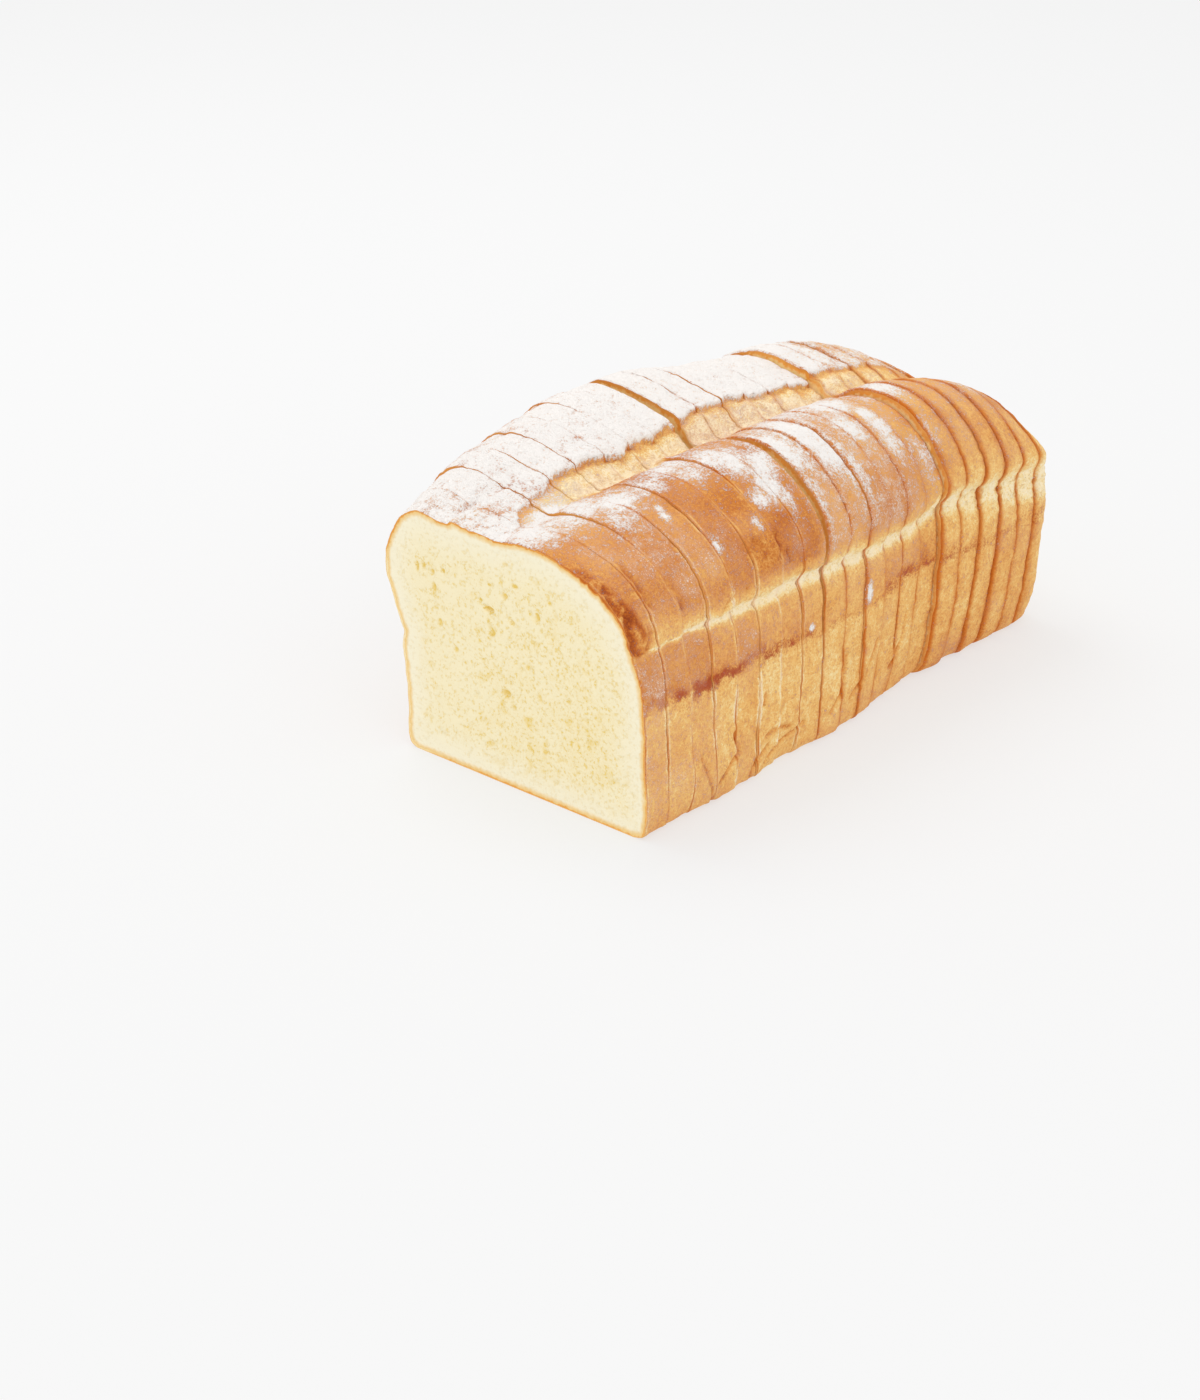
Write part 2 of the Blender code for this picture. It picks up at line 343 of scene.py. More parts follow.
class Crust:
    """The crust at points p in loaf space, from_cut mm away from the nearest saw cut.

    Its masks are about 1 on a mark and 0 away from it. Each noise has a seed of its own.
    """

    def __init__(self, p, number, from_cut):
        self.p = p
        self.x, self.y, self.z = p[..., 0], p[..., 1], p[..., 2]
        self.number = number
        self.from_cut = from_cut
        self.ragged = layered(p, 5.0, 11)
        self.broad = layered(p, 26.0, 21, 2)
        self.fine = layered(p, 1.7, 31, 2)
        self.tone = 2 * lattice(np.int64(number), np.int64(7), np.int64(3), 5) - 1
        end = smoothstep(*HEEL_END, self.y)
        self.right = np.maximum(smoothstep(*RIGHT_SIDE, self.x), end)
        self.left = smoothstep(*LEFT_SIDE, self.x) * (1 - end)
        self.top = smoothstep(*TOP, self.z)
        self.mark_tin()
        self.mark_slash()
        self.mark_gloss()
        self.mark_cuts()
        self.mark_creases()

    def mark_tin(self):
        """The seam, the streak below it, and the band of crust between them."""
        p, y, z, ragged = self.p, self.y, self.z, self.ragged
        self.seam_off = z - along(SEAM_HEIGHT, y) - 0.7 * ragged
        self.seam_width = along(SEAM_WIDTH, y) * (1 + 0.35 * noise(p, 7.0, 51))
        self.seam = bell(self.seam_off, self.seam_width) * self.right
        self.seam_left = bell(z - LEFT_SEAM_HEIGHT - 1.5 * ragged, LEFT_SEAM_WIDTH) * self.left
        self.warm = bell(self.seam_off - 1.2 * self.seam_width, 2.2 * self.seam_width) * self.right
        streak_off = z - along(STREAK_HEIGHT, y) - 2.0 * ragged
        streak = bell(streak_off, 2.5 + 0.8 * self.broad) * along(STREAK_STRENGTH, y) * self.right
        self.streak = streak * np.clip(0.85 + 0.8 * noise(p, 4.5, 61), 0.15, 1.5)
        self.streak_left = bell(z - LEFT_STREAK_HEIGHT - 1.2 * ragged, 2.0) * self.left * 0.5
        self.band = smoothstep(-2, 2, streak_off) * smoothstep(2, -2, self.seam_off) * self.right

    def mark_slash(self):
        """The left lobe, its ragged edge, the torn strip under it, and the lobe's cracks."""
        p, x, y, z, ragged = self.p, self.x, self.y, self.z, self.ragged
        edge_off = x - along(TEAR_EDGE, y) - 1.3 * ragged - 0.35 * noise(p, 1.8, 71)
        end_off = x - along(STRIP_END, y) + 1.5 * ragged
        tear_here = along(TEAR_STRENGTH, y) * smoothstep(76, 84, z)
        past_edge = smoothstep(-0.4, 0.7, edge_off)
        self.strip = past_edge * smoothstep(3.5, -0.5, end_off) * tear_here
        self.under_edge = bell(edge_off - 0.9, 1.4) * past_edge * tear_here
        self.under_lobe = bell(edge_off - 1.0, 3.5) * past_edge * tear_here
        self.lobe_edge = (1 - past_edge) * smoothstep(-9, -1, edge_off) * tear_here
        self.on_lobe = (1 - past_edge) * smoothstep(60, 74, z) * smoothstep(-66, -50, x)
        cracks = ridges(p * (1, 0.6, 1), 11.0, 161) + ridges(p, 6.0, 162) * smoothstep(45, 20, y)
        self.cracks = np.clip(cracks, 0, 1) * self.on_lobe

    def mark_gloss(self):
        """The glossy patch, and the fine folds in it."""
        p, y, z, ragged = self.p, self.y, self.z, self.ragged
        glossy = smoothstep(1.5, -2.0, y - along(GLOSSY_BACK, z) + 1.4 * ragged)
        self.glossy = glossy * smoothstep(62.5, 64.5, z) * smoothstep(90, 84, z) * self.right
        self.folds = bell(noise(p * (1, 1.5, 0.3) + 0.6 * ragged[..., None], 3.0, 191), 0.25)

    def mark_cuts(self):
        """Beside a saw cut the crust gets a dark orange line of painted shade, as in the gaps between
        slices, or is frayed and pale where the loaf was cut last.
        """
        p, y = self.p, self.y
        # A line of painted shade beside each cut, weaker on the floured lobe and the torn strip.
        cut = bell(self.from_cut, along(GAP_SHADE_WIDTH, y) * (1 + 0.3 * noise(p, 6.0, 123)))
        cut = cut * np.clip(along(GAP_SHADE_STRENGTH, y) + 0.6 * noise(p, 14.0, 121), 0, 1)
        self.cut = cut * (1 - 0.55 * np.maximum(self.on_lobe, self.strip))
        frayed = bell(self.from_cut - 0.35 + 0.3 * self.fine, 0.45) * along(FRAYED, y)
        frayed = frayed * (1 - self.top * smoothstep(40, 20, self.x))
        self.frayed = frayed * np.clip(0.6 + 0.9 * noise(p, 6.0, 124), 0, 1) * (1 - self.cut)

    def mark_creases(self):
        """The creases in the right side, and the fold on the left lobe."""
        x, y, z, ragged = self.x, self.y, self.z, self.ragged
        far = [line_distance(y + 0.7 * ragged, z + 0.7 * ragged, line) for line in CREASES]
        self.crease_off = np.stack(far).min(axis=0)
        self.crease = bell(self.crease_off, 0.6) * self.right * (1 + 0.4 * noise(self.p, 9.0, 122))
        self.fold = bell(line_distance(x + 0.5 * ragged, y, FOLD), 1.3) * smoothstep(75, 80, z)

    def flour(self):
        """Heavy on the left lobe, patchy on the right one, and a dusting over the top."""
        x, y, z, strip = self.x, self.y, self.z, self.strip
        flour = self.on_lobe * along(LOBE_FLOUR, y)

        # The torn strip is floured over at its front, and nearly bare further back.
        bare = smoothstep(24, 48, y)
        flour = np.maximum(flour, 0.75 * strip * (1 - bare))
        kept = 1 - (0.6 * strip + 0.3 * self.under_lobe) * bare
        for px, py, wide, long, thick in FLOUR_PATCHES:
            spot = thick * np.exp(-(((x - px) / wide) ** 2) - ((y - py) / long) ** 2)
            flour = np.maximum(flour, spot * self.top * kept)

        dusting = along(DUSTING, y) * self.top * smoothstep(0, -44, x - along(DUST_REACH, y))
        dusting = dusting * (1 + 0.5 * self.broad) * (1 - 0.8 * strip) * (1 - 0.8 * self.under_lobe)
        flour = flour + dusting
        for py, pz, long, high in WALL_SPOTS:
            spot = np.exp(-(((y - py + 0.4 * self.ragged) / long) ** 2) - ((z - pz) / high) ** 2)
            flour = np.maximum(flour, 1.5 * spot * self.right)
        return flour * (1 - self.glossy) * (1 - 0.8 * self.cut) - 0.35 * self.cracks

    def film(self):
        """Dust so thin that the crust shows through it."""
        y, z, top = self.y, self.z, self.top
        film = 0.22 * smoothstep(60, 15, y) + 0.26 * self.band * smoothstep(170, 130, y)
        film = film * (1 - top) + along(DOME_FILM, y) * top + 0.2 * self.broad + 0.1 * self.tone
        film = film + (0.2 + 0.15 * top) * noise(self.p, 9.0, 81)
        film = film - 0.3 * self.streak + 0.35 * self.strip - 0.4 * self.under_lobe
        film = np.maximum(film, 0.95 * self.on_lobe)
        for py, pz, long, high in DULL_PATCHES:
            patch = np.exp(-(((y - py) / long) ** 2) - ((z - pz) / high) ** 2)
            film = np.maximum(film, 1.1 * patch * self.right)
        film = film * (1 - 0.6 * self.warm) * (1 - 0.8 * np.clip(self.seam, 0, 1))
        return film * (1 - 0.9 * self.glossy) + 0.3 * self.frayed

    def baked(self):
        """How strongly each place is browned, with painted shade added beside the cuts towards the
        back and in the creases and the fold: 0 is raw cream, 1 is nearly burnt.
        """
        p, y, z, top, strip = self.p, self.y, self.z, self.top, self.strip
        wall = 0.35 + 0.06 * smoothstep(130, 170, y) + 0.10 * smoothstep(14, 0, z)
        wall = wall + 0.16 * self.band * smoothstep(195, 145, y)
        wall = wall + 0.11 * self.band * smoothstep(60, 20, y) - 0.06 * smoothstep(215, 232, y)
        baked = wall * (1 - top) + top * along(DOME_BAKED, y)
        baked = baked + 0.08 * self.broad + 0.07 * noise(p, 8.0, 91) + 0.05 * self.tone

        # Beside the seam the crust is golden, and in it the dough is pale.
        below = bell(self.seam_off + 2.2 * self.seam_width, 2.0 * self.seam_width) * self.right
        baked = baked - 0.16 * self.warm - 0.08 * below
        baked = baked * (1 - 0.97 * np.clip(self.seam * 1.3, 0, 1))
        baked = baked + 0.03 * self.seam * smoothstep(130, 170, y)
        baked = baked * (1 - 0.6 * self.seam_left) + 0.12 * self.seam_left
        baked = baked + 0.12 * self.streak + 0.15 * self.streak_left

        torn = 0.14 * layered(p, 2.4, 101, 2) + 0.05 * self.broad
        baked = baked * (1 - strip) + torn * strip
        baked = baked + 0.30 * self.under_edge * (1 - 0.4 * self.ragged)
        baked = baked + 0.14 * self.under_lobe + 0.05 * self.lobe_edge

        # The bare patch is deep orange-brown and pales further back; its folds are lighter, as painted
        # sheen.
        patch_tone_and_sheen = 0.90 + 0.12 * noise(p * (1, 1, 0.4), 3.0, 111) - 0.26 * self.folds
        patch_tone_and_sheen = patch_tone_and_sheen - 0.10 * smoothstep(2, 8, y)
        baked = baked * (1 - self.glossy) + self.glossy * patch_tone_and_sheen

        baked = baked - 0.38 * self.frayed
        # Towards the back the crust darkens beside each cut: painted shade of the gaps between slices.
        baked = baked + 0.07 * bell(self.from_cut, 2.2) * smoothstep(88, 100, y)
        baked = baked + 0.12 * bell(self.from_cut, 1.6) * smoothstep(160, 185, y)
        # Creases and the fold are darker: painted shade in their grooves.
        baked = baked + (0.26 - 0.16 * top) * self.crease + 0.12 * self.fold
        return baked + 0.10 * self.cracks

    def relief(self):
        """How far the crust stands out, in mm."""
        p, y, top, right = self.p, self.y, self.top, self.right
        low = smoothstep(30, 8, self.z)
        out = 0.5 * self.broad + 0.22 * noise(p * (1, 1, 2.2), 5.5, 41) + 0.12 * self.fine
        out = out + (0.42 + 0.35 * low) * noise(p + self.number * SLICE_SHIFT, 20.0, 131)
        out = out + 0.5 * (1 - top) * noise(p * (1, 0.8, 0.6), 9.0, 132)
        out = out + 0.35 * right * (1 - top) * noise(p * (1, 1, 0.3), 5.0, 133)
        out = out + FOOT_FLARE * low * smoothstep(70, 35, y) * right

        out = out - 0.8 * self.crease + 0.4 * bell(self.crease_off - 2.0, 1.2) * right
        out = out - self.fold * along(FOLD_DEPTH, y)
        seam_depth = np.minimum(1.0, 0.5 * along(SEAM_WIDTH, y)) * (1 - 0.6 * self.fine)
        out = out - self.seam * seam_depth
        out = out + 0.5 * bell(self.seam_off - 1.7 * self.seam_width, self.seam_width) * right
        out = out + self.streak * (0.55 * noise(p, 2.2, 141) - 0.2)

        out = out + 0.9 * self.lobe_edge - 1.0 * self.under_edge
        out = out + 0.55 * self.strip * layered(p, 2.6, 151, 2)
        out = out - 0.55 * self.cracks * (0.5 + 0.5 * noise(p, 14.0, 171))
        out = out + 0.18 * self.on_lobe * layered(p, 2.0, 181, 2)
        return out + 0.3 * self.frayed + 0.8 * self.glossy * (self.folds - 0.5)

    def attributes(self):
        """The vertex attributes that the crust's material reads."""
        return {
            "baked": np.clip(self.baked(), 0, 1),
            "flour": np.clip(self.flour(), 0, 1.2),
            "film": np.clip(self.film(), 0, 1),
            "glossy": self.glossy,
            "streak": np.clip(self.streak, 0, 1.2),
            "cut": np.clip(self.cut, 0, 1),
            "torn": self.strip,
        }


# ---------------------------------------------------------------- crumb


# The first slice's largest holes: (x, z, half-width, half-height, depth).
HOLES = (
    (-13.5, 63.0, 2.2, 1.1, 1.9), (-6.5, 34.3, 2.1, 1.3, 1.6), (-5.9, 69.9, 1.5, 1.2, 1.0),
    (-1.0, 74.8, 1.6, 0.9, 0.6), (8.8, 66.3, 1.1, 1.7, 0.9), (-2.7, 61.1, 1.3, 0.9, 0.7),
    (-38.9, 63.9, 1.0, 2.0, 0.9), (-46.5, 69.8, 0.7, 1.9, 0.8), (-43.3, 70.8, 0.7, 1.4, 0.8),
    (-39.3, 69.7, 0.9, 0.9, 0.9), (-34.3, 71.4, 1.0, 0.8, 0.8), (-17.1, 65.5, 1.0, 0.8, 0.6),
    (-36.6, 51.7, 1.0, 1.5, 0.7), (-12.5, 72.1, 1.0, 0.6, 0.5), (14.5, 73.1, 0.9, 0.8, 0.5),
    (-29.4, 43.7, 1.0, 1.2, 0.6), (-4.8, 81.6, 1.4, 0.6, 0.5), (22.0, 40.0, 1.0, 0.8, 0.5),
)


def turned(points, angle):
    """Points turned within the cut face."""
    x, z = points[..., 0], points[..., 2]
    cosine, sine = math.cos(angle), math.sin(angle)
    return np.stack([cosine * x - sine * z, points[..., 1], sine * x + cosine * z], -1)


def crumb_features(p, rim, seed, with_holes):
    """How far the crumb sinks (mm) and how open it is, with painted shade towards the bottom right, at
    points of a cut face in loaf space.

    Rim is the distance to the outline. Pores of two sizes gather in loose clouds.
    """
    x, z = p[..., 0], p[..., 2]
    flat = np.stack([x, np.full_like(x, seed * CRUMB_SHIFT), z], -1)
    warp = 0.5 * np.stack([noise(flat, 3.1, 201), 0 * x, noise(flat, 3.1, 202)], -1)
    inside = smoothstep(1.5, 7.0, rim)
    middle = smoothstep(0.40, 0.80, noise(turned(flat, 0.6) + warp, 2.4, 221))
    large = smoothstep(0.66, 0.95, noise(turned(flat, 1.1) + warp, 3.6, 231))
    density = 0.55 + 0.45 * noise(flat, 17.0, 241)
    pore_and_shade = np.clip(0.5 * middle * density + 0.75 * large * density, 0, 1) * inside
    # Painted shade: darker and yellower towards the bottom right of the face.
    pore_and_shade = pore_and_shade + 0.20 * smoothstep(90, 25, z) * smoothstep(-45, 25, x)
    depth = (0.26 * middle + 0.7 * large) * density * inside
    if with_holes:
        for hx, hz, wide, high, deep in HOLES:
            hole = np.exp(-((((x - hx) / wide) ** 2 + ((z - hz) / high) ** 2) ** 1.6))
            depth = depth + deep * hole
            pore_and_shade = np.maximum(pore_and_shade, hole)
    depth = depth + 0.12 * (1 + noise(flat, 3.2, 251)) * smoothstep(0.0, 1.2, rim)
    return depth, pore_and_shade


# ---------------------------------------------------------------- meshes


def outward(x, z):
    """Unit normals of closed outlines that run anticlockwise along axis 0."""
    dx = np.roll(x, -1, axis=0) - np.roll(x, 1, axis=0)
    dz = np.roll(z, -1, axis=0) - np.roll(z, 1, axis=0)
    length = np.hypot(dx, dz)
    return blurred_round(dz / length, 2), blurred_round(-dx / length, 2)


def rounded(points, from_cut):
    """How far the crust draws in beside a saw cut."""
    radius = along(EDGE_ROUNDING, points[..., 1]) * (0.9 + 0.5 * noise(points, 8.0, 261))
    radius = radius * (1 - 0.45 * smoothstep(5, -10, points[..., 0]))
    reach = np.clip(1 - from_cut / radius, 0, 1)
    return radius * (1 - np.sqrt(1 - reach**2))


def depth_rows(thickness):
    """Distances from the front cut at which a slice's crust has vertices."""
    inner = np.arange(INNER_ROWS_FROM, thickness - INNER_ROWS_TO, CRUST_STEP)
    return np.concatenate([CUT_EDGE_STEPS, inner, thickness - np.array(CUT_EDGE_STEPS[::-1])])


def strip_faces(ring, next_ring):
    """Quads between two rings of vertex numbers."""
    return np.stack([ring, np.roll(ring, -1), np.roll(next_ring, -1), next_ring], -1)


def ring_scales(count):
    """Scales of the rings that fill a cut face, close together near the rim."""
    t = np.linspace(0, 1, count + 1)[1:-1]
    return 1 - (0.35 * t**2 + 0.65 * t)


def rim_distance(points, outline):
    """Distance in mm from each point of a cut face to its outline."""
    found = np.full(points.shape[:-1], np.inf)
    for shift in range(-RIM_SEARCH, RIM_SEARCH + 1):
        apart = points - np.roll(outline, shift, axis=0)[:, None, :]
        found = np.minimum(found, np.hypot(apart[..., 0], apart[..., 2]))
    return found


class Builder:
    """Gathers rings of vertices with their attributes, and the faces between them."""

    NAMES = ("baked", "flour", "film", "glossy", "streak", "cut", "torn", "rim", "pore_and_shade", "skin")

    def __init__(self):
        self.points, self.values, self.faces, self.slots = [], [], [], []
        self.count = 0

    def ring(self, points, attributes):
        start = self.count
        self.points.append(points)
        columns = [np.broadcast_to(attributes.get(name, 0.0), len(points)) for name in self.NAMES]
        self.values.append(np.stack(columns, -1))
        self.count += len(points)
        return np.arange(start, self.count)

    def join(self, faces, slot):
        self.faces.extend(map(tuple, faces.tolist()))
        self.slots.extend([slot] * len(faces))

    def close(self, ring, centre, slot, flipped):
        """Closes a ring with a fan to a centre vertex."""
        fan = np.stack([ring, np.roll(ring, -1), np.full(len(ring), centre[0])], -1)
        self.join(fan[:, ::-1] if flipped else fan, slot)

    def piece(self, name, materials):
        points = to_world(np.concatenate(self.points))
        values = np.concatenate(self.values)
        mesh = bpy.data.meshes.new(name)
        mesh.from_pydata(points.tolist(), [], self.faces)
        mesh.polygons.foreach_set("material_index", self.slots)
        for column, attribute_name in enumerate(self.NAMES):
            attribute = mesh.attributes.new(attribute_name, "FLOAT", "POINT")
            attribute.data.foreach_set("value", values[:, column].astype(np.float32))
        for material in materials:
            mesh.materials.append(material)
        mesh.shade_smooth()
        mesh.set_sharp_from_angle(angle=SHARP_ANGLE)
        mesh.validate()
        piece = bpy.data.objects.new(name, mesh)
        bpy.context.scene.collection.objects.link(piece)
        return piece


CRUST, CRUMB = 0, 1


def above_base(z):
    """0 on the base and 1 where relief is at its full strength."""
    return smoothstep(0.0, RELIEF_FROM_BASE, z)


def crust_points(front, back, number):
    """The grid of crust vertices from a front cut to a back one, with attributes."""
    thickness = back.base_y - front.base_y
    depths = depth_rows(thickness)
    share = depths / thickness
    radius = front.radius[:, None] * (1 - share) + back.radius[:, None] * share
    x = radius * np.cos(ANGLES)[:, None]
    z = np.maximum(OUTLINE_CENTRE_HEIGHT + radius * np.sin(ANGLES)[:, None], 0.0)
    y = front.y(z) * (1 - share) + back.y(z) * share - FRONT_Y
    from_cut = np.minimum(depths, thickness - depths)
    points = np.stack([x, y, z], -1)
    crust = Crust(points.copy(), number, np.broadcast_to(from_cut, x.shape))
    out = crust.relief() - rounded(points, from_cut)
    nx, nz = outward(x, z)
    points[..., 0] += nx * out
    points[..., 2] = np.maximum(z + nz * out * above_base(z), 0.0)
    return points, crust.attributes()


def row_of(attributes, row):
    """The attributes of one row of a grid."""
    return {name: values[:, row] for name, values in attributes.items()}


def add_crust(builder, points, attributes):
    """Adds a grid of crust, and gives its rings of vertex numbers."""
    rings = [builder.ring(points[:, k], row_of(attributes, k)) for k in range(points.shape[1])]
    for ring, next_ring in zip(rings, rings[1:]):
        builder.join(strip_faces(ring, next_ring), CRUST)
    return rings


def add_cut_face(builder, rim_ring, outline, attributes, cut, facing, rings, seed, in_view):
    """Fills the ring of a cut face with crumb. Facing is -1 for the front and 1 for the back."""
    scales = ring_scales(rings)[None, :]
    x = outline[:, 0][:, None] * scales
    z = OUTLINE_CENTRE_HEIGHT + (outline[:, 2][:, None] - OUTLINE_CENTRE_HEIGHT) * scales
    points = np.stack([x, np.zeros_like(x), z], -1)
    rim = rim_distance(points, outline)
    depth, pore_and_shade = crumb_features(points, rim, seed, with_holes=in_view)
    points[..., 1] = cut.y(z) - FRONT_Y - facing * depth
    # On inner faces the rim counts as nearer, so the crust line and golden band spread as painted
    # shade of the gaps.
    rim_scale = 1.0 if in_view else SHADED_RIM

    # The crust round the cut face is thin and pale down the left wall.
    pale_side = smoothstep(-30, -48, outline[:, 0]) * smoothstep(80, 66, outline[:, 2])
    baked = attributes["baked"] * (1 - 0.75 * pale_side)
    skin = 0.7 * (1 - pale_side)
    last = rim_ring
    for k in range(points.shape[1]):
        values = {"rim": rim[:, k] * rim_scale, "pore_and_shade": pore_and_shade[:, k], "baked": baked, "skin": skin}
        ring = builder.ring(points[:, k], values)
        faces = strip_faces(last, ring)
        builder.join(faces if facing < 0 else faces[:, ::-1], CRUMB)
        last = ring
    middle = np.array([[0.0, cut.y(OUTLINE_CENTRE_HEIGHT) - FRONT_Y, OUTLINE_CENTRE_HEIGHT]])
    centre = builder.ring(middle, {"rim": DEEP_INSIDE})
    builder.close(last, centre, CRUMB, facing > 0)


def build_slice(node, number, materials):
    front, back = FRONTS[node], BACKS[node]
    builder = Builder()
    points, attributes = crust_points(front, back, number)
    rings = add_crust(builder, points, attributes)
    in_view = node == FIRST
    add_cut_face(
        builder, rings[0], points[:, 0], row_of(attributes, 0), front, -1,
        CRUMB_RINGS_IN_VIEW if in_view else CRUMB_RINGS, number, in_view,
    )
    add_cut_face(
        builder, rings[-1], points[:, -1], row_of(attributes, -1), back, 1,
        CRUMB_RINGS, number + 0.5, False,
    )
    return builder.piece(f"bread_{node}", materials)


def blurred_along(grid, times):
    """A grid averaged with its neighbours, row to row, its first and last rows kept in place."""
    for _ in range(times):
        inner = (grid[:, :-2] + 2 * grid[:, 1:-1] + grid[:, 2:]) / 4
        grid = np.concatenate([grid[:, :1], inner, grid[:, -1:]], axis=1)
    return grid


def heel_grid(front):
    """Points on the CAD heel, in rings from its front cut, along its side and over its end."""
    shape = solid_of(HEEL)
    tree = BVHTree.FromBMesh(shape)
    depth = front.base_y - FRONT_Y + HEEL_CENTRE_DEPTH
    start = to_world(np.array([0.0, depth, OUTLINE_CENTRE_HEIGHT]))
    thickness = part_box(HEEL)[1].y - start[1]
    side = [(1.0, share) for share in np.linspace(0.0, 1.0, HEEL_ROWS_SIDE)[1:]]
    end = [(share, 1.0) for share in np.linspace(1.0, 0.0, HEEL_ROWS_END)[1:-1]]
    rings = []
    for scale, share in side + end:
        ring = []
        for angle, radius in zip(ANGLES, front.radius * MM * scale):
            aim = Vector((math.cos(angle) * radius, thickness * share, math.sin(angle) * radius))
            ring.append(tree.ray_cast(Vector(start), aim.normalized())[0])
        rings.append(ring)
    middle = tree.ray_cast(Vector(start), Vector((0, 1, 0)))[0]
    shape.free()
    grid = np.array(rings).transpose(1, 0, 2)
    return from_world(grid), from_world(np.array([middle]))


def grid_normals(points):
    """Outward unit normals of a grid of rings that shrink towards the heel's end."""
    round_it = np.roll(points, -1, axis=0) - np.roll(points, 1, axis=0)
    onward = np.gradient(points, axis=1)
    normals = np.cross(onward, round_it)
    return normals / np.maximum(np.linalg.norm(normals, axis=-1, keepdims=True), 1e-9)


def build_heel(materials):
    front = FRONTS[HEEL]
    grid, middle = heel_grid(front)
    depths = np.array(CUT_EDGE_STEPS)
    x = np.repeat((front.radius * np.cos(ANGLES))[:, None], len(depths), 1)
    z = OUTLINE_CENTRE_HEIGHT + np.repeat((front.radius * np.sin(ANGLES))[:, None], len(depths), 1)
    z = np.maximum(z, 0.0)
    start = np.stack([x, front.y(z) - FRONT_Y + depths, z], -1)
    points = np.concatenate([start, blurred_along(blurred_round(grid, 2), 2)], axis=1)
    from_cut = points[..., 1] - (front.y(points[..., 2]) - FRONT_Y)
    crust = Crust(points, len(SLICES), from_cut)
    attributes = crust.attributes()
    out = (crust.relief() - rounded(points, from_cut)) * above_base(points[..., 2])
    points = points + grid_normals(points) * out[..., None]
    points[..., 2] = np.maximum(points[..., 2], 0.0)
    builder = Builder()
    rings = add_crust(builder, points, attributes)
    mean = {name: float(np.mean(values)) for name, values in row_of(attributes, -1).items()}
    builder.close(rings[-1], builder.ring(middle, mean), CRUST, True)
    add_cut_face(
        builder, rings[0], points[:, 0], row_of(attributes, 0), front, -1,
        CRUMB_RINGS, len(SLICES), False,
    )
    return builder.piece("bread_heel", materials)


# ---------------------------------------------------------------- materials


def srgb(red, green, blue):
    """A colour named by its usual 0 to 255 values, as the linear colour that Blender works in."""
    shares = [value / 255 for value in (red, green, blue)]
    linear = [s / 12.92 if s <= 0.04045 else ((s + 0.055) / 1.055) ** 2.4 for s in shares]
    return (*linear, 1.0)


BAKED_COLOURS = (
    (0.0, srgb(253, 236, 200)),
    (0.12, srgb(250, 224, 162)),
    (0.30, srgb(242, 193, 116)),
    (0.48, srgb(230, 165, 90)),
    (0.64, srgb(211, 132, 60)),
    (0.82, srgb(184, 92, 26)),
    (1.0, srgb(142, 58, 10)),
)
FLOUR_COLOUR = srgb(248, 244, 240)
FILM_COLOUR = srgb(246, 228, 212)
VEIL_COLOUR = srgb(228, 184, 148)
# Painted shade of the gaps between slices, dark orange.
GAP_SHADE_COLOUR = srgb(204, 106, 20)
STREAK_COLOUR = srgb(176, 80, 46)
RIM_COLOUR = srgb(238, 158, 56)
GOLDEN_COLOUR = srgb(245, 198, 106)
CRUMB_COLOUR = srgb(251, 239, 201)
CRUMB_DEEP = srgb(240, 208, 112)
CRUMB_SKIN = srgb(253, 246, 222)


